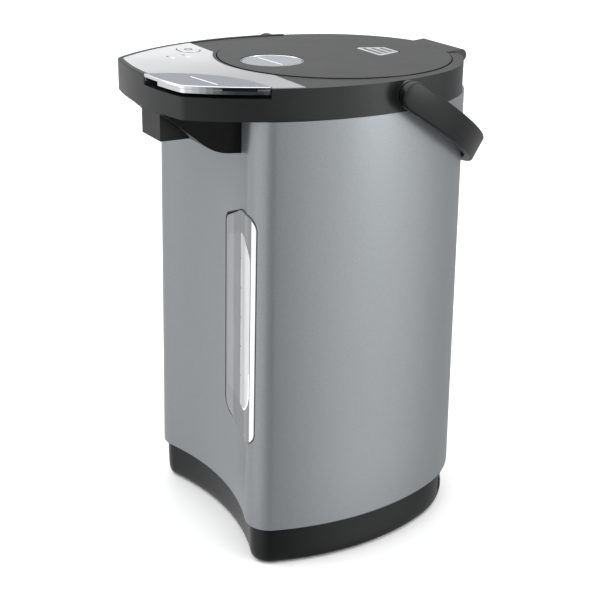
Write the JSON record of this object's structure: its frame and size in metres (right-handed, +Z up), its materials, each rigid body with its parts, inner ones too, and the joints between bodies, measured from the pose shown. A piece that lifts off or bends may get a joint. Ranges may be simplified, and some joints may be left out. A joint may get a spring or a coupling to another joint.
{
  "type": "electric thermo pot",
  "caption": "Tall electric water boiler and warmer with a tapering steel shell, a boat-shaped top with a hinged lid, a pump spout with a press button, a level window and a swinging handle.",
  "frame": {"origin": "centre of the footprint's bounding box, on the surface the pot stands on", "axes": "+Z up, front with the spout towards -Y, +X to the right seen from the front"},
  "size_m": [0.215, 0.264, 0.3517],
  "materials": {
    "painted_steel": "satin silver-grey paint",
    "black_plastic": "fine-grained black",
    "charcoal_plastic": "satin charcoal",
    "silver_paint": "satin silver",
    "chrome_plate": "polished",
    "label_grey": "glossy blue-grey",
    "bright_steel": "brushed",
    "rubber": "matt",
    "silicone": "translucent grey-white",
    "clear_plastic": "clear tinted",
    "white_plastic": "satin white",
    "board": "green lacquer",
    "brass": "plain",
    "magnet": "moulded ferrite"
  },
  "bodies": {
    "pot": {"outer_shell": "painted_steel", "base_housing": "black_plastic", "base_plate": "black_plastic", "rubber_feet": "rubber", "base_screws": "bright_steel", "top_collar": "charcoal_plastic", "head_underside": "black_plastic", "collar_screws": "bright_steel", "pot_support": "black_plastic", "inner_pot": "bright_steel", "pot_seal": "silicone", "heater": "bright_steel", "thermostats": "brass", "thermal_fuse": "white_plastic", "power_board": "board", "panel_board": "board", "control_panel": "silver_paint", "led_lenses": "clear_plastic", "dispense_switch": "black_plastic", "spout_cover": "black_plastic", "spout_nozzle": "black_plastic", "riser_hose": "silicone", "gauge_tube": "clear_plastic", "gauge_tray": "white_plastic", "gauge_window": "clear_plastic", "outlet_hose": "silicone", "inlet_hose": "silicone", "pump_housing": "white_plastic", "pump_cover": "white_plastic", "impeller_pin": "bright_steel", "motor_bracket": "bright_steel", "bracket_screws": "bright_steel", "pump_motor": "bright_steel", "inlet_socket": "black_plastic", "inlet_pins": "brass", "wiring_loom": "rubber", "handle_pins": "bright_steel", "lid_hinge_pin": "bright_steel", "dispense_spring": "bright_steel"},
    "handle": {"carry_handle": "black_plastic"},
    "lid": {"lid_cover": "charcoal_plastic", "lid_liner": "white_plastic", "lid_seal": "silicone", "inner_lid": "bright_steel", "vent_insert": "silver_paint", "vent_chamber": "white_plastic", "lid_screws": "bright_steel", "button_bezel": "chrome_plate", "lid_button_spring": "bright_steel"},
    "lid_button": {"lid_button": "label_grey"},
    "latch": {"latch_bolt": "white_plastic"},
    "dispense": {"dispense_button": "chrome_plate", "button_inlay": "label_grey"},
    "mode_key": {"mode_key": "silver_paint"},
    "rotor": {"motor_rotor": "bright_steel", "drive_magnet": "magnet"},
    "impeller": {"impeller": "black_plastic", "impeller_magnet": "magnet"}
  },
  "joints": [
    {"name": "handle_swing", "type": "hinge", "parent": "pot", "child": "handle", "pos_m": [0, 0.0193, 0.3402], "axis": [1, 0, 0], "range_deg": [0, 145]},
    {"name": "lid_hinge", "type": "hinge", "parent": "pot", "child": "lid", "pos_m": [0, 0.1133, 0.3469], "axis": [-1, 0, 0], "range_deg": [0, 92]},
    {"name": "lid_button_press", "type": "slide", "parent": "lid", "child": "lid_button", "axis": [0, 0, -1], "range_m": [0, 0.003], "stiffness_N_per_m": 400, "springref_m": -0.001, "deforming": ["lid_button_spring"]},
    {"name": "latch_slide", "type": "slide", "parent": "lid", "child": "latch", "axis": [0, 1, 0], "range_m": [0, 0.004]},
    {"name": "dispense_press", "type": "slide", "parent": "pot", "child": "dispense", "axis": [0, 0, -1], "range_m": [0, 0.002], "stiffness_N_per_m": 600, "springref_m": -0.001, "deforming": ["dispense_spring"]},
    {"name": "mode_key_press", "type": "slide", "parent": "pot", "child": "mode_key", "axis": [0, 0, -1], "range_m": [0, 0.0008], "stiffness_N_per_m": 800, "springref_m": -0.0003},
    {"name": "rotor_spin", "type": "hinge", "parent": "pot", "child": "rotor", "pos_m": [0, -0.0357, 0.02], "axis": [0, 0, 1], "continuous": true},
    {"name": "impeller_spin", "type": "hinge", "parent": "pot", "child": "impeller", "pos_m": [0, -0.0357, 0.044], "axis": [0, 0, 1], "continuous": true}
  ],
  "couplings": [
    {"joint": "latch_slide", "follows": "lid_button_press", "ratio": 1.3333},
    {"joint": "impeller_spin", "follows": "rotor_spin", "ratio": 1}
  ]
}
